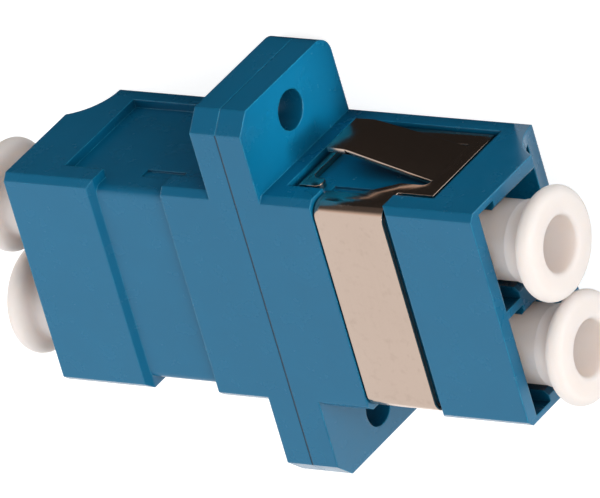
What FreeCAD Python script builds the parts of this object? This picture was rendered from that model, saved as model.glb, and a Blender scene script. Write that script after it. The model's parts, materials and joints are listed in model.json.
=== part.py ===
"""LC duplex fibre adapter with a screw flange, a spring clip and dust caps.

Two identical moulded halves meet at the middle of the flange and trap a pair
of sleeve holders, which hold one split ceramic sleeve on each port axis. A
folded spring clip straps the front half, and a dust cap plugs each port.

Frame: X runs along the ports (0 at the seam, + to the front), Y across the
two ports and the flange ears, Z up from the latch side, on which it rests.
All lengths are in millimetres.
"""
import FreeCAD, Part
import math
import os
import Sketcher

DIMENSIONS = [
    ("body_width", 12.7, "body across both ports"),
    ("body_height", 8.9, "body and flange between the wide faces"),
    ("half_length", 14.8, "seam to port mouth"),
    ("corner_bevel", 0.36, "bevel along the strap side of the body"),
    ("flange_length", 22.0, "over both ears"),
    ("flange_half", 1.6, "thickness of one half's flange"),
    ("ear_chamfer", 1.0, "ear corners on the strap side"),
    ("ear_radius", 1.1, "ear corners on the latch side"),
    ("screw_edge", 2.0, "middle of a flange hole to the end of its ear"),
    ("screw_hole", 2.2, "diameter of a flange hole"),
    ("port_pitch", 6.25, "between the port axes"),
    ("port_axis_drop", 3.1, "strap side down to the port axes"),
    ("port_width", 4.6, "inside of a port, across"),
    ("strap_wall", 0.8, "wall between a port and the strap side"),
    ("keyway_floor", 2.0, "height of the port floor over the latch side"),
    ("latch_wall", 0.95, "wall between the latch slot and the latch side"),
    ("latch_width", 3.2, "latch slot across"),
    ("latch_start", 6.5, "seam to the inner end of the latch slot"),
    ("catch_length", 4.5, "pocket in which the latch wings sit"),
    ("wing_slot_height", 0.4, "slit along the outer wall for the latch wings"),
    ("wing_slot_side", 0.3, "how far that slit is wider than the port"),
    ("corner_relief_side", 0.6, "relief in the port's strap-side corners"),
    ("corner_relief_height", 1.4, "relief measured from the strap wall"),
    ("corner_relief_depth", 3.0, "relief measured from the mouth"),
    ("mouth_lead_in", 0.25, "chamfer round the mouth's side walls"),
    ("scoop_reach", 1.7, "how far the latch wall is cut back"),
    ("scoop_height", 2.75, "height of the cut-back on the end face"),
    ("recess_land", 0.9, "flange to clip recess"),
    ("recess_end_land", 3.1, "clip recess to port mouth"),
    ("recess_latch_land", 0.8, "clip recess to the latch side"),
    ("recess_strap_land", 1.45, "clip recess to the strap side"),
    ("recess_depth", 0.5, "clip recess in the narrow faces"),
    ("relief_start", 4.7, "seam to the shallow relief in the recess floor"),
    ("relief_length", 2.5, "that relief along the ports"),
    ("relief_height", 0.7, "that relief across"),
    ("relief_drop", 0.35, "that relief below the recess edge"),
    ("relief_depth", 0.15, "depth of that relief"),
    ("channel_land", 3.15, "flange to strap channel"),
    ("channel_depth", 0.35, "strap channel in the wide face"),
    ("channel_ramp", 0.3, "sloped outer wall of the strap channel"),
    ("peg_diameter", 1.0, "locating peg on the seam face"),
    ("peg_height", 0.8, "locating peg"),
    ("peg_offset", 4.5, "peg from the middle, across"),
    ("peg_level", 1.6, "peg over the latch side"),
    ("peg_clearance", 0.05, "peg in its socket, radial and at the end"),
    ("holder_plate", 0.9, "thickness of a sleeve holder's plate"),
    ("holder_margin", 2.3, "plate edge from a port axis, across"),
    ("holder_height", 4.6, "holder plate between its long edges"),
    ("holder_corner", 0.5, "corner radius of the holder plate"),
    ("holder_clearance", 0.05, "holder in the housing, all round"),
    ("web_thickness", 1.2, "housing wall in front of the holder plate"),
    ("tube_diameter", 2.7, "outside of a holder tube"),
    ("tube_lip", 1.4, "holder tube past the end of the sleeve"),
    ("tube_lead_in", 0.2, "chamfer at the tube's mouth"),
    ("ferrule_bore", 1.35, "bore of the tube's lip"),
    ("sleeve_diameter", 1.6, "outside of the split sleeve"),
    ("sleeve_bore", 1.25, "bore of the split sleeve"),
    ("sleeve_length", 6.8, "split sleeve"),
    ("sleeve_slot", 0.3, "slot along the sleeve"),
    ("sleeve_clearance", 0.05, "sleeve in its holders, radial and at the ends"),
    ("sheet", 0.3, "thickness of the clip's sheet"),
    ("clip_seat", 0.02, "gap between the clip and the housing"),
    ("bend_radius", 0.5, "inside of the clip's bends"),
    ("strap_width", 4.25, "strap along the ports"),
    ("strap_play", 0.1, "strap to each side of its channel"),
    ("plate_play", 0.4, "side plate to the ends of its recess"),
    ("plate_latch_play", 0.15, "side plate to the recess on the latch side"),
    ("plate_outer_drop", 0.5, "plate's outer shoulder below the recess edge"),
    ("plate_inner_drop", 0.45, "plate's foot below the recess edge"),
    ("window_inner_bar", 0.35, "bar of the plate beside the flange"),
    ("window_latch_bar", 1.05, "bar of the plate on the latch side"),
    ("window_outer_bar", 0.95, "bar of the plate at the leaf's root"),
    ("foot_length", 0.95, "foot at the free end of the inner bar, along the ports"),
    ("foot_height", 0.8, "that foot across"),
    ("window_strap_bar", 0.15, "window's crest under the strap, below the recess edge"),
    ("window_crest", 1.95, "crest from the strap's inner edge, along the ports"),
    ("window_slope", 1.9, "crest down to the edge beside the leaf, along the ports"),
    ("window_radius", 0.35, "window corners"),
    ("leaf_slit", 0.45, "gap beside the leaf in its window, on the strap side"),
    ("leaf_far_slit", 0.15, "gap beside the leaf's root, on the latch side"),
    ("leaf_width", 3.45, "spring leaf at its root"),
    ("leaf_taper", 0.6, "how much narrower the leaf is at its tip, on the latch side"),
    ("leaf_rise", 1.45, "leaf's knee over the plate"),
    ("leaf_slope_length", 5.0, "root to knee along the ports"),
    ("lip_length", 1.15, "knee to the leaf's free end"),
    ("lip_rise", 0.05, "rise of the lip past the knee"),
    ("knee_radius", 1.2, "bend between the leaf and its lip"),
    ("cap_neck", 4.2, "dust cap neck diameter"),
    ("cap_ring", 6.05, "dust cap ring diameter"),
    ("cap_stand_off", 2.85, "mouth to the cap's end face"),
    ("cap_neck_length", 0.75, "straight neck outside the mouth"),
    ("cap_ring_length", 0.95, "length of the cap's ring"),
    ("cap_inner_gap", 0.8, "cap's inner end to the housing web"),
    ("cap_membrane", 1.0, "closed wall across the cap"),
    ("cap_outer_bore", 3.0, "hollow in the cap's outer end"),
    ("cap_outer_depth", 4.5, "depth of that hollow"),
    ("cap_grip", 0.04, "cap bore round the holder tube, radial"),
    ("cap_edge", 0.45, "rounding of the ring"),
    ("cap_flare_radius", 1.5, "hollow between neck and flare"),
]

HALF_WIDTH = "(Dims.body_width / 2)"
CAVITY_START = "(Dims.holder_plate + Dims.holder_clearance + Dims.web_thickness)"
CAVITY_TOP = "(Dims.body_height - Dims.strap_wall)"
PORT_Y = "(Dims.port_pitch / 2)"
PORT_AXIS = "(Dims.body_height - Dims.port_axis_drop)"
SCREW_Y = "(Dims.flange_length / 2 - Dims.screw_edge)"
HALF_PORT = "(Dims.port_width / 2)"
RECESS_START = "(Dims.flange_half + Dims.recess_land)"
RECESS_END = "(Dims.half_length - Dims.recess_end_land)"
RECESS_TOP = "(Dims.body_height - Dims.recess_strap_land)"
RECESS_FLOOR = f"({HALF_WIDTH} - Dims.recess_depth)"
CHANNEL_START = "(Dims.flange_half + Dims.channel_land)"
CHANNEL_END = f"({CHANNEL_START} + Dims.strap_width + 2 * Dims.strap_play)"
CHANNEL_FLOOR = "(Dims.body_height - Dims.channel_depth)"
SLEEVE_END = "(Dims.sleeve_length / 2 + Dims.sleeve_clearance)"
TUBE_END = f"({SLEEVE_END} + Dims.tube_lip)"

doc = FreeCAD.newDocument("FibreAdapter")
dims = doc.addObject("Spreadsheet::Sheet", "Dims")
for row, (alias, number, note) in enumerate(DIMENSIONS, start=1):
    dims.set(f"A{row}", alias)
    dims.set(f"B{row}", str(number))
    dims.setAlias(f"B{row}", alias)
    dims.set(f"C{row}", note)
doc.recompute()


# ---------------------------------------------------------------- helpers

def value(expression):
    """Number that an expression on the sheet gives now."""
    return float(dims.evalExpression(expression))


def new_body(label):
    """Empty body whose label names the finished piece."""
    body = doc.addObject("PartDesign::Body", label)
    body.Label = label
    return body


def origin_plane(body, role):
    """One of the body's own origin planes, found by its role."""
    return next(item for item in body.Origin.OriginFeatures if item.Role == role)


def new_sketch(body, name, plane, offset=None):
    """Sketch on an origin plane, moved along the plane's normal by offset."""
    sketch = body.newObject("Sketcher::SketchObject", name)
    sketch.AttachmentSupport = (origin_plane(body, plane), [""])
    sketch.MapMode = "FlatFace"
    if offset:
        sketch.setExpression(".AttachmentOffset.Base.z", offset)
    return sketch


def pin_point(sketch, geometry, vertex, axis, expression):
    """Hold one coordinate of a sketch point at an expression's value."""
    number = value(expression)
    if abs(number) < 1e-9:
        other_axis = {"X": -2, "Y": -1}[axis]
        sketch.addConstraint(Sketcher.Constraint("PointOnObject", geometry, vertex, other_axis))
        return
    if number > 0:
        ends = (-1, 1, geometry, vertex)
    else:
        ends = (geometry, vertex, -1, 1)
        expression = f"-({expression})"
    index = sketch.addConstraint(Sketcher.Constraint("Distance" + axis, *ends, abs(number)))
    sketch.setExpression(f"Constraints[{index}]", expression)


def add_polygon(sketch, corners):
    """Closed outline whose corners are pairs of expressions."""
    points = [FreeCAD.Vector(value(u), value(v), 0) for u, v in corners]
    count = len(points)
    lines = [Part.LineSegment(points[i], points[(i + 1) % count]) for i in range(count)]
    first = sketch.GeometryCount
    sketch.addGeometry(lines, False)
    for i in range(count):
        follower = first + (i + 1) % count
        sketch.addConstraint(Sketcher.Constraint("Coincident", first + i, 2, follower, 1))
    for i, (u, v) in enumerate(corners):
        pin_point(sketch, first + i, 1, "X", u)
        pin_point(sketch, first + i, 1, "Y", v)


def add_rectangle(sketch, left, right, low, high):
    """Upright rectangle between four expressions."""
    add_polygon(sketch, [(left, low), (right, low), (right, high), (left, high)])


def add_rounded_corner_cut(sketch, u, v, radius):
    """What lies outside a rounded corner whose sharp corner would be (u, v)."""
    inner_u = f"({u} - {radius})"
    inner_v = f"({v} - {radius})"
    corners = [(inner_u, v), (inner_u, f"{v} + 1"), (f"{u} + 1", f"{v} + 1"), (f"{u} + 1", inner_v),
               (u, inner_v)]
    points = [FreeCAD.Vector(value(x), value(y), 0) for x, y in corners]
    sketch.addGeometry([Part.LineSegment(a, b) for a, b in zip(points, points[1:])], False)
    centre = FreeCAD.Vector(value(inner_u), value(inner_v), 0)
    circle = Part.Circle(centre, FreeCAD.Vector(0, 0, 1), value(radius))
    arc = sketch.addGeometry(Part.ArcOfCircle(circle, 0, math.pi / 2), False)
    for line in range(3):
        sketch.addConstraint(Sketcher.Constraint("Coincident", line, 2, line + 1, 1))
    sketch.addConstraint(Sketcher.Constraint("Coincident", 3, 2, arc, 1))
    sketch.addConstraint(Sketcher.Constraint("Coincident", arc, 2, 0, 1))
    pin_point(sketch, arc, 3, "X", inner_u)
    pin_point(sketch, arc, 3, "Y", inner_v)
    pin_point(sketch, 0, 1, "X", inner_u)
    for line, (x, y) in enumerate(corners[1:]):
        pin_point(sketch, line, 2, "X", x)
        pin_point(sketch, line, 2, "Y", y)


def add_circle(sketch, u, v, diameter):
    """Circle about a point given by two expressions."""
    centre = FreeCAD.Vector(value(u), value(v), 0)
    index = sketch.GeometryCount
    circle = Part.Circle(centre, FreeCAD.Vector(0, 0, 1), value(diameter) / 2)
    sketch.addGeometry(circle, False)
    pin_point(sketch, index, 3, "X", u)
    pin_point(sketch, index, 3, "Y", v)
    size = Sketcher.Constraint("Diameter", index, value(diameter))
    sketch.setExpression(f"Constraints[{sketch.addConstraint(size)}]", diameter)


def volume(body):
    """Volume of the body so far, nothing before its first feature."""
    return 0.0 if body.Shape.isNull() else body.Shape.Volume


def extrude(body, kind, sketch, length, reverse=False, both_ways=False):
    """Pad or Pocket of a sketch; fails loudly when it changes nothing."""
    before = volume(body)
    feature = body.newObject("PartDesign::" + kind, sketch.Name + kind)
    feature.Profile = sketch
    feature.setExpression("Length", length)
    feature.Reversed = reverse
    if both_ways:
        feature.SideType = "Symmetric"
    sketch.Visibility = False
    body.Tip = feature
    doc.recompute()
    change = volume(body) - before
    if change * (1 if kind == "Pad" else -1) <= 1e-6:
        raise RuntimeError(f"{body.Label}: {feature.Name} changes nothing")
    return feature


def mirror_across(body, features, name):
    """Repeat features on the other side of the middle plane Y = 0."""
    mirrored = body.newObject("PartDesign::Mirrored", name)
    mirrored.Originals = features
    mirrored.MirrorPlane = (origin_plane(body, "XZ_Plane"), [""])
    body.Tip = mirrored
    doc.recompute()
    return mirrored


def edges_near(body, test):
    """Names of the body's edges whose centre point passes the test."""
    found = []
    for index, edge in enumerate(body.Shape.Edges, start=1):
        if test(edge, edge.CenterOfMass):
            found.append(f"Edge{index}")
    if not found:
        raise RuntimeError(f"{body.Label}: no edge fits the test")
    return found


def dress(body, kind, edge_names, size, name):
    """Fillet or Chamfer on named edges of the body's last feature."""
    previous = body.Tip
    feature = body.newObject("PartDesign::" + kind, name)
    feature.Base = (previous, edge_names)
    feature.setExpression({"Fillet": "Radius", "Chamfer": "Size"}[kind], size)
    body.Tip = feature
    doc.recompute()
    if "Invalid" in feature.State:
        raise RuntimeError(f"{body.Label}: {name} can't be made")
    return feature


def close(a, b):
    """Whether two lengths agree."""
    return abs(a - b) < 1e-4


def along(edge, axis):
    """Whether a straight edge runs along an axis."""
    if len(edge.Vertexes) < 2 or not isinstance(edge.Curve, Part.Line):
        return False
    return abs(abs(edge.Curve.Direction.dot(axis)) - 1) < 1e-6


X_AXIS = FreeCAD.Vector(1, 0, 0)
Y_AXIS = FreeCAD.Vector(0, 1, 0)
Z_AXIS = FreeCAD.Vector(0, 0, 1)


def turn_to_rear(body):
    """Half a turn about Z brings a front piece to the rear."""
    body.Placement = FreeCAD.Placement(FreeCAD.Vector(), FreeCAD.Rotation(Z_AXIS, 180))


# ---------------------------------------------------------------- housing

def bevelled_block(sketch, half_width, corner):
    """Cross-section with bevels on the strap side only."""
    low_corner = f"Dims.body_height - {corner}"
    add_polygon(sketch, [
        (f"-{half_width}", "0"), (half_width, "0"), (half_width, low_corner),
        (f"{half_width} - {corner}", "Dims.body_height"),
        (f"-{half_width} + {corner}", "Dims.body_height"), (f"-{half_width}", low_corner)])


def add_body_and_flange(body):
    """Moulded block, flange ears and their screw holes."""
    section = new_sketch(body, "Section", "YZ_Plane")
    bevelled_block(section, HALF_WIDTH, "Dims.corner_bevel")
    extrude(body, "Pad", section, "Dims.half_length")
    ears = new_sketch(body, "Ears", "YZ_Plane")
    bevelled_block(ears, "(Dims.flange_length / 2)", "Dims.ear_chamfer")
    extrude(body, "Pad", ears, "Dims.flange_half")
    tip = value("Dims.flange_length / 2")
    corners = edges_near(body, lambda edge, at: along(edge, X_AXIS) and close(abs(at.y), tip) and close(at.z, 0))
    dress(body, "Fillet", corners, "Dims.ear_radius", "EarRounding")
    holes = new_sketch(body, "ScrewHoles", "YZ_Plane")
    for side in ("-", ""):
        add_circle(holes, side + SCREW_Y, "Dims.body_height / 2", "Dims.screw_hole")
    extrude(body, "Pocket", holes, "Dims.flange_half", reverse=True)


def add_clip_recesses(body):
    """Strap channel over the wide face and a recess in each narrow face."""
    channel = new_sketch(body, "Channel", "XZ_Plane")
    over_top = "Dims.body_height + 1"
    add_polygon(channel, [
        (CHANNEL_START, CHANNEL_FLOOR), (CHANNEL_END, CHANNEL_FLOOR),
        (f"{CHANNEL_END} + Dims.channel_ramp", "Dims.body_height"),
        (f"{CHANNEL_END} + Dims.channel_ramp", over_top), (CHANNEL_START, over_top)])
    extrude(body, "Pocket", channel, "Dims.body_width + 2", both_ways=True)
    recess = new_sketch(body, "Recess", "XZ_Plane", f"-{RECESS_FLOOR}")
    add_polygon(recess, [
        (RECESS_START, "Dims.recess_latch_land"), (RECESS_END, "Dims.recess_latch_land"),
        (RECESS_END, RECESS_TOP), (CHANNEL_END, RECESS_TOP), (CHANNEL_END, over_top),
        (CHANNEL_START, over_top), (CHANNEL_START, RECESS_TOP), (RECESS_START, RECESS_TOP)])
    pocket = extrude(body, "Pocket", recess, "Dims.recess_depth + 1")
    mirror_across(body, [pocket], "RecessBothSides")
    relief = new_sketch(body, "FloorRelief", "XZ_Plane", f"Dims.relief_depth - {RECESS_FLOOR}")
    relief_top = f"({RECESS_TOP} - Dims.relief_drop)"
    add_rectangle(relief, "Dims.relief_start", "Dims.relief_start + Dims.relief_length",
                  f"{relief_top} - Dims.relief_height", relief_top)
    pocket = extrude(body, "Pocket", relief, "Dims.relief_depth + Dims.recess_depth / 2")
    mirror_across(body, [pocket], "ReliefBothSides")
    bend = new_sketch(body, "BendSeat", "YZ_Plane", CHANNEL_START)
    add_rounded_corner_cut(bend, RECESS_FLOOR, CHANNEL_FLOOR, "Dims.bend_radius")
    pocket = extrude(body, "Pocket", bend, f"{CHANNEL_END} - {CHANNEL_START}", reverse=True)
    mirror_across(body, [pocket], "BendBothSides")


def port_pocket(body, name, start, length, half_width, low, high):
    """Rectangular pocket round the port axis, running towards the mouth."""
    sketch = new_sketch(body, name, "YZ_Plane", start)
    add_rectangle(sketch, f"{PORT_Y} - {half_width}", f"{PORT_Y} + {half_width}", low, high)
    return extrude(body, "Pocket", sketch, length, reverse=True)


def add_ports(body):
    """Two plug cavities with their latch slots, reliefs and cut-back end."""
    scoop_radius = "((Dims.scoop_reach ^ 2 + Dims.scoop_height ^ 2) / (2 * Dims.scoop_reach))"
    scoop = new_sketch(body, "Scoop", "XZ_Plane")
    add_circle(scoop, f"Dims.half_length - Dims.scoop_reach + {scoop_radius}", "0", f"2 * {scoop_radius}")
    extrude(body, "Pocket", scoop, "Dims.body_width + 2", both_ways=True)
    catch_end = "(Dims.latch_start + Dims.catch_length)"
    relief_half = f"({HALF_PORT} + Dims.corner_relief_side)"
    wing_half = f"({HALF_PORT} + Dims.wing_slot_side)"
    pockets = [
        port_pocket(body, "Cavity", CAVITY_START, "Dims.half_length", HALF_PORT,
                    "Dims.keyway_floor", CAVITY_TOP),
        port_pocket(body, "LatchSlot", "Dims.latch_start", "Dims.half_length",
                    "(Dims.latch_width / 2)", "Dims.latch_wall", "Dims.keyway_floor"),
        port_pocket(body, "CatchPocket", "Dims.latch_start", "Dims.catch_length", HALF_PORT,
                    "Dims.latch_wall", "Dims.keyway_floor"),
        port_pocket(body, "WingSlot", catch_end, "Dims.half_length", wing_half,
                    "Dims.latch_wall", "Dims.latch_wall + Dims.wing_slot_height"),
        port_pocket(body, "CornerRelief", "Dims.half_length - Dims.corner_relief_depth",
                    "Dims.half_length", relief_half, f"{CAVITY_TOP} - Dims.corner_relief_height",
                    CAVITY_TOP)]
    mirror_across(body, pockets, "BothPorts")
    mouth = value("Dims.half_length")
    walls = [value(f"{PORT_Y} - {HALF_PORT}"), value(f"{PORT_Y} + {HALF_PORT}")]
    rims = edges_near(body, lambda edge, at: along(edge, Z_AXIS) and close(at.x, mouth)
                      and any(close(abs(at.y), wall) for wall in walls))
    dress(body, "Chamfer", rims, "Dims.mouth_lead_in", "MouthLeadIn")


def add_seam_details(body):
    """Seat of the sleeve holder, its tube holes, and a peg with its socket."""
    half_seat = f"({PORT_Y} + Dims.holder_margin + Dims.holder_clearance)"
    half_height = "(Dims.holder_height / 2 + Dims.holder_clearance)"
    seat = new_sketch(body, "HolderSeat", "YZ_Plane")
    add_rectangle(seat, f"-{half_seat}", half_seat, f"{PORT_AXIS} - {half_height}",
                  f"{PORT_AXIS} + {half_height}")
    seat_depth = "(Dims.holder_plate + Dims.holder_clearance)"
    extrude(body, "Pocket", seat, seat_depth, reverse=True)
    holes = new_sketch(body, "TubeHoles", "YZ_Plane", seat_depth)
    for side in ("-", ""):
        add_circle(holes, side + PORT_Y, PORT_AXIS, "Dims.tube_diameter + 2 * Dims.holder_clearance")
    extrude(body, "Pocket", holes, "Dims.web_thickness", reverse=True)
    peg = new_sketch(body, "Peg", "YZ_Plane")
    add_circle(peg, "Dims.peg_offset", "Dims.peg_level", "Dims.peg_diameter")
    extrude(body, "Pad", peg, "Dims.peg_height", reverse=True)
    socket = new_sketch(body, "Socket", "YZ_Plane")
    add_circle(socket, "-Dims.peg_offset", "Dims.peg_level", "Dims.peg_diameter + 2 * Dims.peg_clearance")
    extrude(body, "Pocket", socket, "Dims.peg_height + Dims.peg_clearance", reverse=True)


def build_housing(label):
    """One moulded half, as it stands at the front."""
    body = new_body(label)
    add_body_and_flange(body)
    add_clip_recesses(body)
    add_ports(body)
    add_seam_details(body)
    return body


# ---------------------------------------------------------------- inner pieces

def build_holder(label):
    """Plate with two tubes that hold half of each split sleeve."""
    body = new_body(label)
    plate = new_sketch(body, "Plate", "YZ_Plane")
    half_plate = f"({PORT_Y} + Dims.holder_margin)"
    add_rectangle(plate, f"-{half_plate}", half_plate, f"{PORT_AXIS} - Dims.holder_height / 2",
                  f"{PORT_AXIS} + Dims.holder_height / 2")
    extrude(body, "Pad", plate, "Dims.holder_plate")
    edge_y = value(half_plate)
    corners = edges_near(body, lambda edge, at: along(edge, X_AXIS) and close(abs(at.y), edge_y))
    dress(body, "Fillet", corners, "Dims.holder_corner", "PlateCorners")
    steps = [("Tubes", "Pad", "Dims.tube_diameter", TUBE_END),
             ("SleeveBores", "Pocket", "Dims.sleeve_diameter + 2 * Dims.sleeve_clearance", SLEEVE_END),
             ("FerruleBores", "Pocket", "Dims.ferrule_bore", TUBE_END)]
    for name, kind, diameter, length in steps:
        sketch = new_sketch(body, name, "YZ_Plane")
        for side in ("-", ""):
            add_circle(sketch, side + PORT_Y, PORT_AXIS, diameter)
        extrude(body, kind, sketch, length, reverse=(kind == "Pocket"))
    tube_end = value(TUBE_END)
    rims = edges_near(body, lambda edge, at: close(at.x, tube_end))
    dress(body, "Chamfer", rims, "Dims.tube_lead_in", "TubeLeadIn")
    return body


def build_sleeve(label, side):
    """Split ceramic sleeve across the seam, on one port axis."""
    body = new_body(label)
    ring = new_sketch(body, "Ring", "YZ_Plane")
    add_circle(ring, "0", "0", "Dims.sleeve_diameter")
    add_circle(ring, "0", "0", "Dims.sleeve_bore")
    extrude(body, "Pad", ring, "Dims.sleeve_length", both_ways=True)
    slot = new_sketch(body, "Slot", "XY_Plane")
    add_rectangle(slot, "-Dims.sleeve_length", "Dims.sleeve_length", "-Dims.sleeve_slot / 2",
                  "Dims.sleeve_slot / 2")
    extrude(body, "Pocket", slot, "Dims.sleeve_diameter", reverse=True)
    body.setExpression(".Placement.Base.y", side + PORT_Y)
    body.setExpression(".Placement.Base.z", PORT_AXIS)
    return body


# ---------------------------------------------------------------- clip

PLATE_INNER = f"({RECESS_FLOOR} + Dims.clip_seat)"
PLATE_OUTER = f"({PLATE_INNER} + Dims.sheet)"
PLATE_START = f"({RECESS_START} + Dims.plate_play)"
PLATE_END = f"({RECESS_END} - Dims.plate_play)"
PLATE_LOW = "(Dims.recess_latch_land + Dims.plate_latch_play)"
STRAP_START = f"({CHANNEL_START} + Dims.strap_play)"
STRAP_END = f"({STRAP_START} + Dims.strap_width)"
STRAP_INNER = f"({CHANNEL_FLOOR} + Dims.clip_seat)"
STRAP_OUTER = f"({STRAP_INNER} + Dims.sheet)"
WINDOW_LOW = f"({PLATE_LOW} + Dims.window_latch_bar)"
LEAF_LOW = f"({WINDOW_LOW} + Dims.leaf_far_slit)"
LEAF_HIGH = f"({LEAF_LOW} + Dims.leaf_width)"
LEAF_ROOT = f"({PLATE_END} - Dims.window_outer_bar)"
WINDOW_START = f"({PLATE_START} + Dims.window_inner_bar)"
WINDOW_HIGH = f"({LEAF_HIGH} + Dims.leaf_slit)"
FOOT_HIGH = f"({RECESS_TOP} - Dims.plate_inner_drop)"
FOOT_LOW = f"({FOOT_HIGH} - Dims.foot_height)"
FOOT_END = f"({WINDOW_START} + Dims.foot_length)"
WINDOW_CREST = f"({RECESS_TOP} - Dims.window_strap_bar)"
CREST_END = f"({STRAP_START} + Dims.window_crest)"


def add_folded_sheet(body):
    """U of sheet over the wide face, cut to a strap between two side plates."""
    fold = new_sketch(body, "Fold", "YZ_Plane", PLATE_START)
    add_polygon(fold, [
        (PLATE_INNER, PLATE_LOW), (PLATE_OUTER, PLATE_LOW), (PLATE_OUTER, STRAP_OUTER),
        (f"-{PLATE_OUTER}", STRAP_OUTER), (f"-{PLATE_OUTER}", PLATE_LOW),
        (f"-{PLATE_INNER}", PLATE_LOW), (f"-{PLATE_INNER}", STRAP_INNER),
        (PLATE_INNER, STRAP_INNER)])
    extrude(body, "Pad", fold, f"{PLATE_END} - {PLATE_START}")
    for name, plate_y, strap_z, radius in (
            ("BendInside", PLATE_INNER, STRAP_INNER, "Dims.bend_radius + Dims.clip_seat"),
            ("BendOutside", PLATE_OUTER, STRAP_OUTER, "Dims.bend_radius + Dims.clip_seat + Dims.sheet")):
        at_y = value(plate_y)
        at_z = value(strap_z)
        bends = edges_near(body, lambda edge, at: along(edge, X_AXIS) and close(abs(at.y), at_y)
                           and close(at.z, at_z))
        dress(body, "Fillet", bends, radius, name)
    sides = new_sketch(body, "StrapSides", "XZ_Plane")
    over_top = "Dims.body_height + 1"
    add_rectangle(sides, f"{PLATE_START} - 1", STRAP_START, FOOT_HIGH, over_top)
    add_rectangle(sides, STRAP_END, f"{PLATE_END} + 1", f"{RECESS_TOP} - Dims.plate_outer_drop", over_top)
    extrude(body, "Pocket", sides, "Dims.body_width + 2", both_ways=True)


def add_spring_leaves(body):
    """Window in each side plate with the leaf that was lanced out of it."""
    window = new_sketch(body, "Window", "XZ_Plane")
    outline = [
        (WINDOW_START, WINDOW_LOW), (LEAF_ROOT, WINDOW_LOW), (LEAF_ROOT, WINDOW_HIGH),
        (f"{CREST_END} + Dims.window_slope", WINDOW_HIGH), (CREST_END, WINDOW_CREST),
        (FOOT_END, WINDOW_CREST), (FOOT_END, FOOT_LOW), (WINDOW_START, FOOT_LOW)]
    add_polygon(window, outline)
    extrude(body, "Pocket", window, "Dims.body_width + 2", both_ways=True)
    points = [(value(x), value(z)) for x, z in outline + [(FOOT_END, FOOT_HIGH)]]
    corners = edges_near(body, lambda edge, at: along(edge, Y_AXIS)
                         and any(close(at.x, x) and close(at.z, z) for x, z in points))
    dress(body, "Fillet", corners, "Dims.window_radius", "WindowCorners")
    knee = f"({LEAF_ROOT} - Dims.leaf_slope_length)"
    lip = f"({knee} - Dims.lip_length)"
    root = f"({LEAF_ROOT} + Dims.sheet)"
    knee_rise = "Dims.leaf_rise"
    lip_rise = "(Dims.leaf_rise + Dims.lip_rise)"
    leaf = new_sketch(body, "Leaf", "XY_Plane", LEAF_LOW)
    add_polygon(leaf, [
        (root, PLATE_INNER), (root, PLATE_OUTER), (LEAF_ROOT, PLATE_OUTER),
        (knee, f"{PLATE_OUTER} + {knee_rise}"), (lip, f"{PLATE_OUTER} + {lip_rise}"),
        (lip, f"{PLATE_INNER} + {lip_rise}"), (knee, f"{PLATE_INNER} + {knee_rise}"),
        (LEAF_ROOT, PLATE_INNER)])
    pad = extrude(body, "Pad", leaf, "Dims.leaf_width")
    mirror_across(body, [pad], "LeafBothSides")
    taper = new_sketch(body, "Taper", "XZ_Plane")
    past_lip = f"({lip} - Dims.leaf_slit)"
    add_polygon(taper, [
        (past_lip, WINDOW_LOW), (LEAF_ROOT, WINDOW_LOW), (LEAF_ROOT, LEAF_LOW),
        (past_lip, f"{LEAF_LOW} + Dims.leaf_taper")])
    extrude(body, "Pocket", taper, "Dims.body_width + 2 * Dims.leaf_rise", both_ways=True)
    knee_x = value(knee)
    for name, level, radius in (("KneeInside", PLATE_INNER, "Dims.knee_radius"),
                                ("KneeOutside", PLATE_OUTER, "Dims.knee_radius + Dims.sheet")):
        at_y = value(f"{level} + {knee_rise}")
        knees = edges_near(body, lambda edge, at: along(edge, Z_AXIS) and close(at.x, knee_x)
                           and close(abs(at.y), at_y))
        dress(body, "Fillet", knees, radius, name)


def build_clip(label):
    """Retaining clip folded from one sheet of spring steel."""
    body = new_body(label)
    add_folded_sheet(body)
    add_spring_leaves(body)
    return body


# ---------------------------------------------------------------- dust caps

def build_cap(label, side, at_rear):
    """Turned form of a dust cap, closed in the middle and hollow both ways."""
    body = new_body(label)
    start = f"({CAVITY_START} + Dims.cap_inner_gap)"
    end = "(Dims.half_length + Dims.cap_stand_off)"
    ring_start = f"({end} - Dims.cap_ring_length)"
    flare_start = "(Dims.half_length + Dims.cap_neck_length)"
    outer_floor = f"({end} - Dims.cap_outer_depth)"
    inner_floor = f"({outer_floor} - Dims.cap_membrane)"
    inner_bore = "(Dims.tube_diameter / 2 + Dims.cap_grip)"
    profile = new_sketch(body, "Profile", "XY_Plane")
    add_polygon(profile, [
        (start, inner_bore), (inner_floor, inner_bore), (inner_floor, "0"), (outer_floor, "0"),
        (outer_floor, "Dims.cap_outer_bore / 2"), (end, "Dims.cap_outer_bore / 2"),
        (end, "Dims.cap_ring / 2"), (ring_start, "Dims.cap_ring / 2"),
        (flare_start, "Dims.cap_neck / 2"), (start, "Dims.cap_neck / 2")])
    turned = body.newObject("PartDesign::Revolution", "Turned")
    turned.Profile = profile
    turned.ReferenceAxis = (profile, ["H_Axis"])
    turned.Angle = 360
    profile.Visibility = False
    body.Tip = turned
    doc.recompute()
    flare_x = value(flare_start)
    flare = edges_near(body, lambda edge, at: close(at.x, flare_x) and edge.Length > 1)
    dress(body, "Fillet", flare, "Dims.cap_flare_radius", "FlareHollow")
    ring_x = [value(ring_start), value(end)]
    rims = edges_near(body, lambda edge, at: any(close(at.x, x) for x in ring_x)
                      and isinstance(edge.Curve, Part.Circle))
    dress(body, "Fillet", rims, "Dims.cap_edge", "RingRounding")
    if at_rear:
        turn_to_rear(body)
    body.setExpression(".Placement.Base.y", side + PORT_Y)
    body.setExpression(".Placement.Base.z", PORT_AXIS)
    return body


# ---------------------------------------------------------------- assembly

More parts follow.
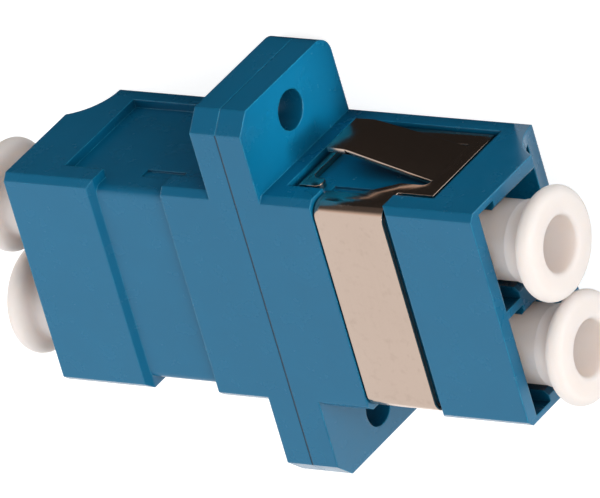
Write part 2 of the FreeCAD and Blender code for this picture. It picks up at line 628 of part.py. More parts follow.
pieces = [
    build_housing("front_housing"), build_housing("rear_housing"),
    build_holder("sleeve_holder_front"), build_holder("sleeve_holder_rear"),
    build_sleeve("alignment_sleeve_left", ""), build_sleeve("alignment_sleeve_right", "-"),
    build_clip("retaining_clip"),
    build_cap("dust_cap_front_left", "", False), build_cap("dust_cap_front_right", "-", False),
    build_cap("dust_cap_rear_left", "", True), build_cap("dust_cap_rear_right", "-", True),
]
turn_to_rear(pieces[1])
turn_to_rear(pieces[3])
doc.recompute()

failed = [item.Name for item in doc.Objects if {"Invalid", "Error"} & set(item.State)]
if failed:
    raise RuntimeError("failed features: " + ", ".join(failed))
for piece in pieces:
    if piece.Shape.isNull() or not piece.Shape.isValid() or len(piece.Shape.Solids) != 1:
        raise RuntimeError(f"{piece.Label} is not one valid solid")

os.makedirs("parts", exist_ok=True)
for piece in pieces:
    piece.Shape.exportStep(f"parts/{piece.Label}.step")
    print(f"{piece.Label}: {piece.Shape.Volume:.2f} mm3")
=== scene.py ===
"""Looks of a flanged duplex fibre adapter with its spring clip and dust caps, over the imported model."""
import json
import math

import bpy
from mathutils import Matrix, Vector

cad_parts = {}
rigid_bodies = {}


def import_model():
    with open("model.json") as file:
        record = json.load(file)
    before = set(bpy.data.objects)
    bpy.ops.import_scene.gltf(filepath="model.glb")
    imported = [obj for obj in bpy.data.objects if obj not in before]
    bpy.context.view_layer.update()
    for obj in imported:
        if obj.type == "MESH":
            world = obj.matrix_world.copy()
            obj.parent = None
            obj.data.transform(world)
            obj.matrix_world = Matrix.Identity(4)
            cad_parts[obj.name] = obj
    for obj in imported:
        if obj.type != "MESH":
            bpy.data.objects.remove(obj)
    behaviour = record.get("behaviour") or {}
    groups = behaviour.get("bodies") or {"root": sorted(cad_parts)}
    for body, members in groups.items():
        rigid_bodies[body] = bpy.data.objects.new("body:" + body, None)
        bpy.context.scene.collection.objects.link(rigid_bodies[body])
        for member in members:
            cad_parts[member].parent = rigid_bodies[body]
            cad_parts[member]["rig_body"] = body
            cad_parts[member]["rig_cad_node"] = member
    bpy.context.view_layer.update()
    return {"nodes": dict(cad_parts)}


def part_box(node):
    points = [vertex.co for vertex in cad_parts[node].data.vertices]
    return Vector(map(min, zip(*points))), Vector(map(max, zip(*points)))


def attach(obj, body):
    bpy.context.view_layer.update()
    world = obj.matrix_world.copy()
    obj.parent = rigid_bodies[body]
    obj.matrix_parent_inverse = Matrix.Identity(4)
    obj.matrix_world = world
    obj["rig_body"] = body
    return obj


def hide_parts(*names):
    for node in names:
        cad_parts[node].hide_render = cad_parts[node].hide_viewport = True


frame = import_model()
MM = 0.001

# ------------------------------------------------------------------ colours, linear

MOULDED_BLUE = (0.0022, 0.143, 0.282, 1)
DEEP_BLUE = (0.0016, 0.117, 0.234, 1)
# lighter edge colours mixed in along edges: partly wear, partly painted highlight
BLUE_WEAR_AND_SHEEN = (0.03, 0.41, 0.66, 1)
HOLDER_WEAR_AND_SHEEN = (0.02, 0.28, 0.48, 1)
# painted shade: dark blue mixed into closed-in places and into the seam between the halves
PAINTED_SHADE_BLUE = (0.001, 0.02, 0.045, 1)
CAP_WHITE = (0.86, 0.78, 0.745, 1)
CAP_SHADE = (0.82, 0.73, 0.69, 1)
CAP_WEAR_AND_SHEEN = (0.88, 0.865, 0.84, 1)
SPRING_STEEL = (0.61, 0.48, 0.40, 1)
STEEL_STAIN = (0.47, 0.36, 0.29, 1)
CUT_STEEL_AND_SHEEN = (0.72, 0.6, 0.53, 1)
ZIRCONIA = (0.86, 0.85, 0.80, 1)
ZIRCONIA_SHADE = (0.80, 0.78, 0.72, 1)
ZIRCONIA_WEAR_AND_SHEEN = (0.9, 0.89, 0.86, 1)

FLOOR_GREY = (0.54, 0.54, 0.54, 1)
FLOOR_PALE = (0.56, 0.56, 0.56, 1)
ROOM_FILL = (0.97, 0.985, 1.0, 1)
ROOM_WHITE = (1, 1, 1, 1)
CARD_BLACK = (0.01, 0.01, 0.01, 1)
CARD_GLOW = (1.0, 0.87, 0.78, 1)
KEY_LIGHT = (1.0, 0.985, 0.965)
REAR_LIGHT = (1.0, 0.985, 0.97)
SOFT_LIGHT = (1.0, 0.99, 0.98)


# ------------------------------------------------------------------ nodes

def open_group(name, inputs, outputs):
    """Empty shader node group with the sockets named, and its two end nodes."""
    group = bpy.data.node_groups.new(name, "ShaderNodeTree")
    for label, kind, default in inputs:
        socket = group.interface.new_socket(label, in_out="INPUT", socket_type=kind)
        if default is not None:
            socket.default_value = default
    for label, kind in outputs:
        group.interface.new_socket(label, in_out="OUTPUT", socket_type=kind)
    return group, group.nodes.new("NodeGroupInput"), group.nodes.new("NodeGroupOutput")


def add_node(tree, kind, **values):
    """Node with plain values on the sockets or settings named."""
    node = tree.nodes.new(kind)
    for label, setting in values.items():
        socket = node.inputs.get(label.replace("_", " "))
        if socket is not None:
            socket.default_value = setting
        else:
            setattr(node, label, setting)
    return node


def feed_socket(tree, feed, socket):
    """Gives a socket a plain number or colour, or a link from another socket."""
    if isinstance(feed, (int, float, tuple)):
        socket.default_value = feed
    else:
        tree.links.new(feed, socket)


def maths(tree, operation, first, second=0.0):
    """Maths node fed with sockets or numbers; gives its result socket."""
    node = tree.nodes.new("ShaderNodeMath")
    node.operation = operation
    feed_socket(tree, first, node.inputs[0])
    feed_socket(tree, second, node.inputs[1])
    return node.outputs[0]


def spread(tree, feed, low, high, low_out=0, high_out=1):
    """Map Range node; gives its result socket."""
    node = tree.nodes.new("ShaderNodeMapRange")
    feed_socket(tree, feed, node.inputs["Value"])
    feed_socket(tree, low, node.inputs["From Min"])
    feed_socket(tree, high, node.inputs["From Max"])
    feed_socket(tree, low_out, node.inputs["To Min"])
    feed_socket(tree, high_out, node.inputs["To Max"])
    return node.outputs["Result"]


def blend_colour(tree, share, first, second):
    """Mix node for colours fed with sockets or colours; gives its result socket."""
    node = tree.nodes.new("ShaderNodeMix")
    node.data_type = "RGBA"
    feed_socket(tree, share, node.inputs[0])
    feed_socket(tree, first, node.inputs[6])
    feed_socket(tree, second, node.inputs[7])
    return node.outputs[2]


def noise(tree, place, size, detail=3.0, stretch=None):
    """Noise with lumps of the given size in metres; stretch divides it along the axes."""
    if stretch is not None:
        mapping = add_node(tree, "ShaderNodeMapping")
        mapping.inputs["Scale"].default_value = stretch
        tree.links.new(place, mapping.inputs["Vector"])
        place = mapping.outputs["Vector"]
    node = add_node(tree, "ShaderNodeTexNoise", Scale=1 / size, Detail=detail, Roughness=0.55)
    tree.links.new(place, node.inputs["Vector"])
    return node.outputs["Fac"]


def axes_of(tree, vector):
    """Separate XYZ node on a vector; gives its outputs."""
    node = tree.nodes.new("ShaderNodeSeparateXYZ")
    tree.links.new(vector, node.inputs[0])
    return node.outputs


# ------------------------------------------------------------------ node groups

# moulded skin
CLOUD_SIZE = 4.0 * MM
FLOW_SIZE = 2.2 * MM
FLOW_STRETCH = (0.25, 1.4, 1.4)
SMEAR_SIZE = 1.5 * MM
PEBBLE_SIZE = 0.3 * MM
RIPPLE_SIZE = 0.8 * MM

# edges painted lighter, as wear and as painted highlight
EDGE_SHEEN_REACH = 0.08 * MM
EDGE_SHEEN_PATCH_SIZE = 0.7 * MM

# painted shade: how far a wall still darkens a place, and the half widths of the seam line's painted
# shade
PAINTED_SHADE_REACH = 3.0 * MM
SEAM_DARK = 0.03 * MM
SEAM_CLEAR = 0.065 * MM

# rolled sheet
LINE_SIZE = 0.12 * MM
LINE_STRETCH = (1.0, 0.04, 0.04)
STAIN_SIZE = 0.5 * MM
PATCH_SIZE = 3.5 * MM


def build_moulded_skin():
    """Skin of a moulding: cloudy colour, faint flow marks and a fine pebble."""
    group, take, give = open_group(
        "MouldedSkin",
        [("Place", "NodeSocketVector", None),
         ("Colour", "NodeSocketColor", None),
         ("Deep Colour", "NodeSocketColor", None),
         ("Cloud", "NodeSocketFloat", 0.5),
         ("Gloss Low", "NodeSocketFloat", 0.25),
         ("Gloss High", "NodeSocketFloat", 0.4)],
        [("Colour", "NodeSocketColor"),
         ("Roughness", "NodeSocketFloat"),
         ("Height", "NodeSocketFloat")])
    place = take.outputs["Place"]
    cloud = spread(group, noise(group, place, CLOUD_SIZE), low=0.35, high=0.65)
    marks = noise(group, place, FLOW_SIZE, detail=2, stretch=FLOW_STRETCH)
    flow = spread(group, marks, low=0.4, high=0.7)
    cloud_part = maths(group, "MULTIPLY", cloud, 0.7)
    flow_part = maths(group, "MULTIPLY", flow, 0.3)
    share = maths(group, "MULTIPLY", maths(group, "ADD", cloud_part, flow_part), take.outputs["Cloud"])
    colour = blend_colour(group, share, take.outputs["Colour"], take.outputs["Deep Colour"])
    smear = spread(group, noise(group, place, SMEAR_SIZE, detail=4), low=0.3, high=0.7,
                   low_out=take.outputs["Gloss Low"], high_out=take.outputs["Gloss High"])
    pebble = maths(group, "MULTIPLY", noise(group, place, PEBBLE_SIZE, detail=1), 0.4)
    ripple = maths(group, "MULTIPLY", noise(group, place, RIPPLE_SIZE, detail=1), 0.6)
    group.links.new(colour, give.inputs["Colour"])
    group.links.new(smear, give.inputs["Roughness"])
    group.links.new(maths(group, "ADD", pebble, ripple), give.inputs["Height"])
    return group


def build_edge_wear_and_sheen():
    """Share of wear and painted highlight along edges, broken up so that it comes and goes."""
    group, take, give = open_group(
        "EdgeWearAndSheen",
        [("Place", "NodeSocketVector", None),
         ("Reach", "NodeSocketFloat", EDGE_SHEEN_REACH),
         ("Amount", "NodeSocketFloat", 0.5)],
        [("Share", "NodeSocketFloat")])
    bevel = add_node(group, "ShaderNodeBevel", samples=6)
    group.links.new(take.outputs["Reach"], bevel.inputs["Radius"])
    geometry = add_node(group, "ShaderNodeNewGeometry")
    turned = add_node(group, "ShaderNodeVectorMath", operation="DOT_PRODUCT")
    group.links.new(bevel.outputs["Normal"], turned.inputs[0])
    group.links.new(geometry.outputs["Normal"], turned.inputs[1])
    # edges found from the eased normal get the painted highlight and the wear
    edge = spread(group, turned.outputs["Value"], low=0.94, high=0.80)
    patches = spread(group, noise(group, take.outputs["Place"], EDGE_SHEEN_PATCH_SIZE, detail=4),
                     low=0.35, high=0.6, low_out=0.25)
    wear_and_sheen = maths(group, "MULTIPLY", edge, patches)
    group.links.new(maths(group, "MULTIPLY", wear_and_sheen, take.outputs["Amount"]), give.inputs["Share"])
    return group


def build_painted_shade():
    """Share of painted shade in closed-in places and in the seam between the halves, where it crosses the
    two broad faces.
    """
    group, take, give = open_group(
        "PaintedShade",
        [("Place", "NodeSocketVector", None),
         ("Amount", "NodeSocketFloat", 0.6)],
        [("Share", "NodeSocketFloat")])
    # painted shade: the colour darkens where nearby walls close in, found by an occlusion test
    hidden = add_node(group, "ShaderNodeAmbientOcclusion", Distance=PAINTED_SHADE_REACH, samples=12)
    corner = spread(group, hidden.outputs["AO"], low=0.6, high=0.12)
    # painted shade of the seam between the halves, on the broad faces only
    from_seam = maths(group, "ABSOLUTE", axes_of(group, take.outputs["Place"])["X"])
    seam = spread(group, from_seam, low=SEAM_DARK, high=SEAM_CLEAR, low_out=1, high_out=0)
    geometry = add_node(group, "ShaderNodeNewGeometry")
    facing = maths(group, "ABSOLUTE", axes_of(group, geometry.outputs["True Normal"])["Z"])
    broad = spread(group, facing, low=0.8, high=0.95)
    share = maths(group, "MAXIMUM", corner, maths(group, "MULTIPLY", seam, broad))
    group.links.new(maths(group, "MULTIPLY", share, take.outputs["Amount"]), give.inputs["Share"])
    return group


def build_rolled_grain():
    """Rolled sheet: fine lines along the strip, small stains and broad cloudy patches."""
    group, take, give = open_group(
        "RolledGrain",
        [("Place", "NodeSocketVector", None),
         ("Metal", "NodeSocketColor", None),
         ("Stain", "NodeSocketColor", None),
         ("Gloss Low", "NodeSocketFloat", 0.2),
         ("Gloss High", "NodeSocketFloat", 0.34)],
        [("Colour", "NodeSocketColor"),
         ("Roughness", "NodeSocketFloat"),
         ("Height", "NodeSocketFloat")])
    place = take.outputs["Place"]
    lines = noise(group, place, LINE_SIZE, detail=1, stretch=LINE_STRETCH)
    stains = spread(group, noise(group, place, STAIN_SIZE, detail=5), low=0.55, high=0.75, high_out=0.3)
    patches = spread(group, noise(group, place, PATCH_SIZE, detail=2), low=0.35, high=0.7, high_out=0.12)
    streaks = spread(group, lines, low=0.3, high=0.7, low_out=0.4)
    share = maths(group, "ADD", stains, maths(group, "MULTIPLY", patches, streaks))
    colour = blend_colour(group, share, take.outputs["Metal"], take.outputs["Stain"])
    gloss = spread(group, lines, low=0.3, high=0.7,
                   low_out=take.outputs["Gloss Low"], high_out=take.outputs["Gloss High"])
    group.links.new(colour, give.inputs["Colour"])
    group.links.new(gloss, give.inputs["Roughness"])
    group.links.new(lines, give.inputs["Height"])
    return group


MOULDED_SKIN = build_moulded_skin()
EDGE_WEAR_AND_SHEEN = build_edge_wear_and_sheen()
PAINTED_SHADE_GROUP = build_painted_shade()
ROLLED_GRAIN = build_rolled_grain()


# ------------------------------------------------------------------ materials

# radius to which the shading eases an edge, reach of the wear and painted highlight on cut edges, height
# of the grain
PLASTIC_EASING = 0.14 * MM
STEEL_EASING = 0.06 * MM
STEEL_SHEEN_REACH = 0.05 * MM
STEEL_DEPTH = 0.00003 * MM


def open_material(name):
    """Material with a Principled shader and Object coordinates."""
    material = bpy.data.materials.new(name)
    material.use_nodes = True
    tree = material.node_tree
    shader = tree.nodes["Principled BSDF"]
    place = add_node(tree, "ShaderNodeTexCoord").outputs["Object"]
    return material, tree, shader, place


def set_shader(material, **values):
    """Plain values on the sockets of a material's own Principled shader."""
    shader = material.node_tree.nodes["Principled BSDF"]
    for label, setting in values.items():
        shader.inputs[label.replace("_", " ")].default_value = setting


def place_group(tree, group, place, **values):
    """Instance of a group with its own values."""
    node = tree.nodes.new("ShaderNodeGroup")
    node.node_tree = group
    tree.links.new(place, node.inputs["Place"])
    for label, setting in values.items():
        node.inputs[label.replace("_", " ")].default_value = setting
    return node


def raise_surface(tree, shader, height, depth, easing):
    """Bump of the given depth in metres over edges eased by a small radius."""
    eased = add_node(tree, "ShaderNodeBevel", Radius=easing, samples=8)
    bump = add_node(tree, "ShaderNodeBump", Strength=1.0, Distance=depth)
    tree.links.new(height, bump.inputs["Height"])
    tree.links.new(eased.outputs["Normal"], bump.inputs["Normal"])
    tree.links.new(bump.outputs["Normal"], shader.inputs["Normal"])


def moulded_plastic(name, colour, deep, cloud, gloss, wear_and_sheen_colour, wear_and_sheen, depth, painted_shade_amount=0.0):
    """Moulded plastic with clouded colour, edges painted lighter as wear and painted highlight, a fine
    skin and, if wanted, painted shade in closed-in places and the seam.
    """
    material, tree, shader, place = open_material(name)
    skin = place_group(tree, MOULDED_SKIN, place, Colour=colour, Deep_Colour=deep, Cloud=cloud,
                       Gloss_Low=gloss[0], Gloss_High=gloss[1])
    edge = place_group(tree, EDGE_WEAR_AND_SHEEN, place, Amount=wear_and_sheen)
    # painted highlight and wear along the edges
    finish = blend_colour(tree, edge.outputs["Share"], skin.outputs["Colour"], wear_and_sheen_colour)
    # painted shade in closed-in places and in the seam
    if painted_shade_amount > 0:
        painted_shade_node = place_group(tree, PAINTED_SHADE_GROUP, place, Amount=painted_shade_amount)
        finish = blend_colour(tree, painted_shade_node.outputs["Share"], finish, PAINTED_SHADE_BLUE)
    tree.links.new(finish, shader.inputs["Base Color"])
    tree.links.new(skin.outputs["Roughness"], shader.inputs["Roughness"])
    raise_surface(tree, shader, skin.outputs["Height"], depth, PLASTIC_EASING)
    return material


def rolled_steel(name, metal, stain, gloss, cut_and_sheen_colour, wear_and_sheen):
    """Rolled spring sheet with grain, stains and cut edges painted brighter, as bare metal and as painted
    highlight.
    """
    material, tree, shader, place = open_material(name)
    grain = place_group(tree, ROLLED_GRAIN, place, Metal=metal, Stain=stain,
                        Gloss_Low=gloss[0], Gloss_High=gloss[1])
    edge = place_group(tree, EDGE_WEAR_AND_SHEEN, place, Amount=wear_and_sheen, Reach=STEEL_SHEEN_REACH)
    # cut edges painted brighter: bare metal and painted highlight
    finish = blend_colour(tree, edge.outputs["Share"], grain.outputs["Colour"], cut_and_sheen_colour)
    tree.links.new(finish, shader.inputs["Base Color"])
    tree.links.new(grain.outputs["Roughness"], shader.inputs["Roughness"])
    raise_surface(tree, shader, grain.outputs["Height"], STEEL_DEPTH, STEEL_EASING)
    set_shader(material, Metallic=1)
    return material


HOUSING_BLUE = moulded_plastic(
    "housing_blue", MOULDED_BLUE, DEEP_BLUE, cloud=0.35, gloss=(0.2, 0.3),
    wear_and_sheen_colour=BLUE_WEAR_AND_SHEEN, wear_and_sheen=0.95, depth=0.0007 * MM, painted_shade_amount=0.92)
set_shader(HOUSING_BLUE, Specular_IOR_Level=0.43)

HOLDER_BLUE = moulded_plastic(
    "holder_blue", MOULDED_BLUE, DEEP_BLUE, cloud=0.6, gloss=(0.35, 0.5),
    wear_and_sheen_colour=HOLDER_WEAR_AND_SHEEN, wear_and_sheen=0.35, depth=0.003 * MM, painted_shade_amount=0.8)

CAP_SOFT = moulded_plastic(
    "cap_soft_white", CAP_WHITE, CAP_SHADE, cloud=0.5, gloss=(0.38, 0.55),
    wear_and_sheen_colour=CAP_WEAR_AND_SHEEN, wear_and_sheen=0.5, depth=0.004 * MM)
set_shader(CAP_SOFT, Subsurface_Weight=0.9, Subsurface_Scale=1.4 * MM,
           Subsurface_Radius=(1.0, 0.88, 0.78))

SLEEVE_WHITE = moulded_plastic(
    "zirconia_white", ZIRCONIA, ZIRCONIA_SHADE, cloud=0.4, gloss=(0.08, 0.16),
    wear_and_sheen_colour=ZIRCONIA_WEAR_AND_SHEEN, wear_and_sheen=0.3, depth=0.0006 * MM)
set_shader(SLEEVE_WHITE, Coat_Weight=0.4, Coat_Roughness=0.08)

CLIP_STEEL = rolled_steel(
    "spring_steel", SPRING_STEEL, STEEL_STAIN, gloss=(0.16, 0.2), cut_and_sheen_colour=CUT_STEEL_AND_SHEEN, wear_and_sheen=0.6)


# ------------------------------------------------------------------ modelling helpers

def only(piece):
    """Selects one piece and nothing else."""
    bpy.ops.object.select_all(action="DESELECT")
    piece.select_set(True)
    bpy.context.view_layer.objects.active = piece


def finish_piece(piece, material, body, smooth_angle):
    """Smooth shading within an angle in degrees, the finish, and the body it rides on."""
    only(piece)
    bpy.ops.object.transform_apply(location=True, rotation=True, scale=True)
    bpy.ops.object.shade_smooth_by_angle(angle=math.radians(smooth_angle))
    piece.data.materials.clear()
    piece.data.materials.append(material)
    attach(piece, body)


# ------------------------------------------------------------------ housing halves, holders and sleeves

for node in ("front_housing", "rear_housing"):
    frame["nodes"][node].material_slots[0].material = HOUSING_BLUE
for node in ("sleeve_holder_front", "sleeve_holder_rear"):
    frame["nodes"][node].material_slots[0].material = HOLDER_BLUE
for node in ("alignment_sleeve_left", "alignment_sleeve_right"):
    frame["nodes"][node].material_slots[0].material = SLEEVE_WHITE


# ------------------------------------------------------------------ retaining clip

CLIP_EDGE = 0.03 * MM
CLIP_EDGE_STEPS = 2
CLIP_SHARP_ANGLE = 35
CLIP_SMOOTH_ANGLE = 32
JOIN_DISTANCE = 0.0015 * MM


def loose_copy(node, name):
    """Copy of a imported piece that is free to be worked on."""
    packed = frame["nodes"][node]
    piece = packed.copy()
    piece.data = packed.data.copy()
    piece.name = name
    piece.parent = None
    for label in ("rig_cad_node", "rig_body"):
        if label in piece:
            del piece[label]
    bpy.context.scene.collection.objects.link(piece)
    return piece


def model_clip():
    """Sheet clip with its facets joined and its sharp edges eased."""
    clip = loose_copy("retaining_clip", "clip")
    only(clip)
    bpy.ops.object.mode_set(mode="EDIT")
    bpy.ops.mesh.select_all(action="SELECT")
    bpy.ops.mesh.customdata_custom_splitnormals_clear()
    bpy.ops.mesh.remove_doubles(threshold=JOIN_DISTANCE)
    bpy.ops.object.mode_set(mode="OBJECT")
    bevel = clip.modifiers.new("Eased edges", "BEVEL")
    bevel.width = CLIP_EDGE
    bevel.segments = CLIP_EDGE_STEPS
    bevel.limit_method = "ANGLE"
    bevel.angle_limit = math.radians(CLIP_SHARP_ANGLE)
    bevel.use_clamp_overlap = False
    bevel.miter_outer = "MITER_ARC"
    bpy.ops.object.modifier_apply(modifier=bevel.name)
    finish_piece(clip, CLIP_STEEL, "adapter", CLIP_SMOOTH_ANGLE)
    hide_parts("retaining_clip")


model_clip()


# ------------------------------------------------------------------ dust caps, in millimetres

# Places are along the axis from the end face, with the plug on the negative side.
CAP_SIDES = 128
CAP_SMOOTH_ANGLE = 40
HUB_RADIUS = 0.2
END_RADIUS = 3.025
END_ROUND = 0.52
THROAT_RADIUS = 1.5
THROAT_LIP = 0.25
THROAT_FLOOR = -4.5
THROAT_RINGS = (-3.0, -1.0)
FLOOR_RADIUS = 1.0
FLOOR_ROUND = 0.4
SHOULDER_RADIUS = 2.14
SHOULDER_END = -1.9
FILLET_CENTRE = -1.46
FILLET_ROUND = 0.42
BEAD_CENTRE = (-2.1, 2.12)
BEAD_ROUND = 0.05
NECK_RADIUS = 2.1
NECK_START = -2.25
NECK_MIDDLE = -6.0
TIP_LENGTH = 1.4
TIP_ROUND = 0.25
TIP_BORE_RADIUS = 1.39
TIP_LIP = 0.12
TIP_BORE_TAPER = -5.9
TIP_BORE_FLOOR = -5.5
TIP_FLOOR_RADIUS = 1.1


def rounding(centre, radius, start, stop, steps):
    """Stations round an arc: place along the axis and radius from it. Angles are in degrees."""
    angles = [math.radians(start + (stop - start) * i / steps) for i in range(steps + 1)]
    return [(centre[0] + radius * math.cos(a), centre[1] + radius * math.sin(a)) for a in angles]


def turn_profile(name, stations):
    """Turned solid drawn out ring by ring along X, closed at the first and the last ring."""
    at, radius = stations[0]
    bpy.ops.object.select_all(action="DESELECT")
    bpy.ops.mesh.primitive_circle_add(vertices=CAP_SIDES, radius=radius * MM, fill_type="NGON",
                                      location=(at * MM, 0, 0), rotation=(0, math.pi / 2, 0))
    piece = bpy.context.object
    piece.name = name
    only(piece)
    bpy.ops.object.transform_apply(location=True, rotation=True, scale=True)
    bpy.ops.object.mode_set(mode="EDIT")
    bpy.ops.mesh.select_all(action="SELECT")
    for station, wide in stations[1:]:
        step = (station - at) * MM
        growth = wide / radius
        bpy.ops.mesh.extrude_region_move(TRANSFORM_OT_translate={"value": (step, 0, 0)})
        bpy.ops.transform.resize(value=(1, growth, growth), center_override=(station * MM, 0, 0))
        at, radius = station, wide
    bpy.ops.mesh.select_all(action="SELECT")
    bpy.ops.mesh.normals_make_consistent(inside=False)
    bpy.ops.object.mode_set(mode="OBJECT")
    return piece


def cap_profile(length):
    """Stations of a cap from the throat's floor, round the end ring and along to the plug's own bore."""
    tip = -length
    throat = [(THROAT_FLOOR, HUB_RADIUS), (THROAT_FLOOR, FLOOR_RADIUS)]
    throat += rounding((THROAT_FLOOR + FLOOR_ROUND, THROAT_RADIUS - FLOOR_ROUND),
                       FLOOR_ROUND, 180, 90, 5)
    throat += [(at, THROAT_RADIUS) for at in THROAT_RINGS]
    throat += rounding((-THROAT_LIP, THROAT_RADIUS + THROAT_LIP), THROAT_LIP, 270, 360, 8)
    ring = rounding((-END_ROUND, END_RADIUS - END_ROUND), END_ROUND, 0, 165, 18)
    ring += rounding((FILLET_CENTRE, SHOULDER_RADIUS + FILLET_ROUND), FILLET_ROUND, 330, 270, 6)
    neck = [(SHOULDER_END, SHOULDER_RADIUS)]
    neck += rounding(BEAD_CENTRE, BEAD_ROUND, 60, 150, 3)
    neck += [(NECK_START, NECK_RADIUS), (NECK_MIDDLE, NECK_RADIUS), (tip + TIP_LENGTH, NECK_RADIUS)]
    plug = rounding((tip + TIP_ROUND, NECK_RADIUS - TIP_ROUND), TIP_ROUND, 90, 180, 5)
    plug += rounding((tip + TIP_LIP, TIP_BORE_RADIUS + TIP_LIP), TIP_LIP, 180, 270, 4)
    plug += [(TIP_BORE_TAPER, TIP_BORE_RADIUS), (TIP_BORE_FLOOR, TIP_FLOOR_RADIUS),
             (TIP_BORE_FLOOR, HUB_RADIUS)]
    return throat + ring + neck + plug


def fit_cap(master, end, side):
    """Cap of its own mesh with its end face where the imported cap's is, its plug towards the middle."""
    node = f"dust_cap_{end}_{side}"
    low_corner, high_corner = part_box(node)
    middle = (low_corner + high_corner) / 2
    cap = master.copy()
    cap.data = master.data.copy()
    cap.name = f"cap_{end}_{side}"
    bpy.context.scene.collection.objects.link(cap)
    if end == "front":
        cap.location = (high_corner.x, middle.y, middle.z)
    else:
        cap.location = (low_corner.x, middle.y, middle.z)
        cap.rotation_euler = (0, 0, math.pi)
    finish_piece(cap, CAP_SOFT, node, CAP_SMOOTH_ANGLE)
    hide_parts(node)


cap_low, cap_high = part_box("dust_cap_front_left")
cap_master = turn_profile("cap_master", cap_profile((cap_high.x - cap_low.x) / MM))
for end in ("front", "rear"):
    for side in ("left", "right"):
        fit_cap(cap_master, end, side)
bpy.data.objects.remove(cap_master)


# ------------------------------------------------------------------ lamps, in metres and watts

PART_MIDDLE = (0, 0, 0.004)
SNOOT_PLACE = (0.0172, 0.0108, 0.0046)
SNOOT_TARGET = (0.0016, 0.0092, 0.0042)
SNOOT_SPREAD = 25


def outward(direction, distance):
    """Place at a distance in metres from the part's origin."""
    return Vector(direction).normalized() * distance


def softbox(name, place, size, power, colour, target=PART_MIDDLE):
    """Square lamp turned to a target, which lights the part and isn't mirrored in it."""
    lamp = bpy.data.lights.new(name, "AREA")
    lamp.shape = "RECTANGLE"
    lamp.size = size
    lamp.size_y = size
    lamp.energy = power
    lamp.color = colour
    holder = bpy.data.objects.new(name, lamp)
    bpy.context.scene.collection.objects.link(holder)
    holder.location = place
    holder.rotation_mode = "QUATERNION"
    holder.rotation_quaternion = (Vector(target) - Vector(place)).to_track_quat("-Z", "Y")
    holder.visible_glossy = False
    return holder


softbox("key_softbox", outward((0.94, 0.05, 0.33), distance=0.13),
        size=0.146, power=0.130, colour=KEY_LIGHT)
softbox("side_softbox", outward((0.75, 0.45, 0.48), distance=0.5),
        size=0.22, power=0.58, colour=SOFT_LIGHT)
softbox("rear_fill", outward((-0.78, 0.10, 0.62), distance=0.05),
        size=0.02, power=0.0034, colour=REAR_LIGHT)
softbox("back_softbox", outward((-0.58, -0.46, 0.67), distance=1.0),
        size=1.2, power=6.5, colour=SOFT_LIGHT)
snoot = softbox("flange_snoot", SNOOT_PLACE,
                size=0.008, power=0.00014, colour=SOFT_LIGHT, target=SNOOT_TARGET)
snoot.data.spread = math.radians(SNOOT_SPREAD)
snoot.visible_camera = False


# ------------------------------------------------------------------ room, floor and cards, in metres

ROOM_FILL_STRENGTH = 0.33
ROOM_WHITE_STRENGTH = 1.0
FLOOR_SIZE = 6
FLOOR_LEVEL = -0.00002
FLOOR_MOTTLE = 0.02
FLOOR_GLOW = 0.78


def seen_directly(tree):
    """1 where the camera, gloss or glass looks, and 0 where light is only scattered."""
    rays = add_node(tree, "ShaderNodeLightPath").outputs
    mirrored = maths(tree, "MAXIMUM", rays["Is Glossy Ray"], rays["Is Transmission Ray"])
    return maths(tree, "MAXIMUM", rays["Is Camera Ray"], mirrored)


def light_room():
    """White room to the eye and in reflections, with a weaker fill on the part."""
    world = bpy.data.worlds.new("studio")
    bpy.context.scene.world = world
    world.use_nodes = True
    tree = world.node_tree
    fill = tree.nodes["Background"]
    fill.inputs["Color"].default_value = ROOM_FILL
    fill.inputs["Strength"].default_value = ROOM_FILL_STRENGTH
    white = add_node(tree, "ShaderNodeBackground", Color=ROOM_WHITE, Strength=ROOM_WHITE_STRENGTH)
    choice = tree.nodes.new("ShaderNodeMixShader")
    tree.links.new(seen_directly(tree), choice.inputs[0])
    tree.links.new(fill.outputs[0], choice.inputs[1])
    tree.links.new(white.outputs[0], choice.inputs[2])
    tree.links.new(choice.outputs[0], tree.nodes["World Output"].inputs["Surface"])


def floor_finish():
    """Pale floor that keeps the shadow and looks white to the eye and in reflections."""
    material, tree, shader, place = open_material("pale_floor")
    set_shader(material, Roughness=0.9, Specular_IOR_Level=0.1)
    mottle = spread(tree, noise(tree, place, FLOOR_MOTTLE, detail=2), low=0.3, high=0.7)
    tree.links.new(blend_colour(tree, mottle, FLOOR_GREY, FLOOR_PALE), shader.inputs["Base Color"])
    glow = add_node(tree, "ShaderNodeEmission", Strength=FLOOR_GLOW)
    shown = tree.nodes.new("ShaderNodeMixShader")
    tree.links.new(seen_directly(tree), shown.inputs[0])
    tree.links.new(glow.outputs[0], shown.inputs[2])
    both = tree.nodes.new("ShaderNodeAddShader")
    tree.links.new(shader.outputs[0], both.inputs[0])
    tree.links.new(shown.outputs[0], both.inputs[1])
    tree.links.new(both.outputs[0], tree.nodes["Material Output"].inputs["Surface"])
    return material


def lay_floor():
    """Plain floor just under the part."""
    bpy.ops.object.select_all(action="DESELECT")
    bpy.ops.mesh.primitive_plane_add(size=FLOOR_SIZE, location=(0, 0, FLOOR_LEVEL))
    floor = bpy.context.object
    floor.name = "floor"
    floor.data.materials.append(floor_finish())


def card_finish(name, dim, lit, low=0.0, high=1.0):
    """Finish of a studio card: its light runs from dim at a low height to lit at a high one."""
    material, tree, shader, place = open_material(name)
    set_shader(material, Base_Color=CARD_BLACK, Roughness=1.0, Specular_IOR_Level=0.0,
               Emission_Color=CARD_GLOW)
    light = spread(tree, axes_of(tree, place)["Z"], low, high, dim, lit)
    tree.links.new(light, shader.inputs["Emission Strength"])
    return material


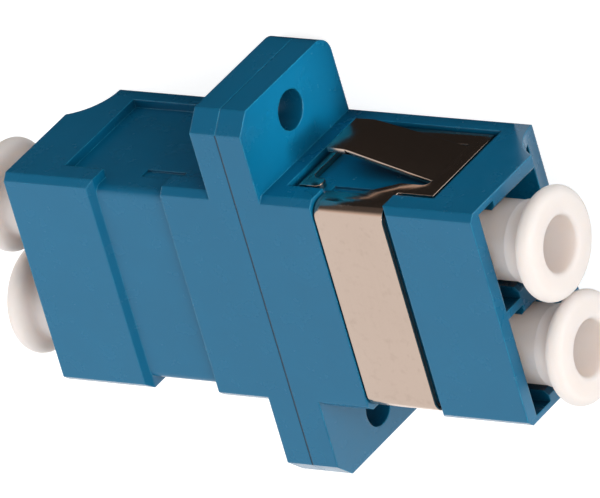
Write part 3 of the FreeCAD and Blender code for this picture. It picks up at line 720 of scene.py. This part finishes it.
def studio_card(name, material, place, facing, width, height):
    """Card that is only seen in reflections, in place of the white room."""
    bpy.ops.object.select_all(action="DESELECT")
    bpy.ops.mesh.primitive_plane_add(size=1, location=place)
    card = bpy.context.object
    card.name = name
    card.scale = (width, height, 1)
    card.rotation_mode = "QUATERNION"
    card.rotation_quaternion = Vector(facing).to_track_quat("Z", "Y")
    only(card)
    bpy.ops.object.transform_apply(location=True, rotation=True, scale=True)
    card.data.materials.append(material)
    card.visible_camera = False
    card.visible_diffuse = False
    card.visible_transmission = False
    card.visible_shadow = False


light_room()
lay_floor()

BLACK_CARD = card_finish("black_card", dim=0.02, lit=0.02)
SHADED_CARD = card_finish("shaded_card", dim=0.09, lit=0.95, low=0.105, high=0.22)
WHITE_CARD = card_finish("white_card", dim=10.0, lit=10.0)
studio_card("glint_card", WHITE_CARD, place=(0.282, 0.015, 0.103),
            facing=(-0.94, -0.05, -0.33), width=0.06, height=0.06)
studio_card("card_on_the_table", BLACK_CARD, place=(-0.044, 0.0832, 0.00004),
            facing=(0, 0, 1), width=0.112, height=0.154)
studio_card("card_at_the_side", SHADED_CARD, place=(-0.10, 0.16, 0.125),
            facing=(0, -1, 0), width=0.50, height=0.25)
studio_card("card_in_front", BLACK_CARD, place=(0.22, -0.135, 0.14),
            facing=(-0.75, 0.46, -0.47), width=0.30, height=0.26)


# ------------------------------------------------------------------ camera

CAMERA_PLACE = Vector((0.423193, 0.339680, 0.494956))
CAMERA_AHEAD = Vector((-0.579118, -0.463770, -0.670478))
CAMERA_UP = Vector((-0.075323, 0.849346, -0.522434))
FILM_WIDTH = 36
FOCAL_LENGTH = 848.957
NEAR_LIMIT = 0.05
FAR_LIMIT = 20


def set_camera():
    """Long-lens camera that looks at the part from its clip end and above."""
    lens = bpy.data.cameras.new("camera")
    lens.sensor_width = FILM_WIDTH
    lens.lens = FOCAL_LENGTH
    lens.clip_start = NEAR_LIMIT
    lens.clip_end = FAR_LIMIT
    camera = bpy.data.objects.new("camera", lens)
    bpy.context.scene.collection.objects.link(camera)
    ahead = CAMERA_AHEAD.normalized()
    across = ahead.cross(CAMERA_UP).normalized()
    upward = across.cross(ahead)
    turn = Matrix((across, upward, -ahead)).transposed().to_4x4()
    camera.matrix_world = Matrix.Translation(CAMERA_PLACE) @ turn
    bpy.context.scene.camera = camera


set_camera()
bpy.context.scene.view_settings.view_transform = "Standard"
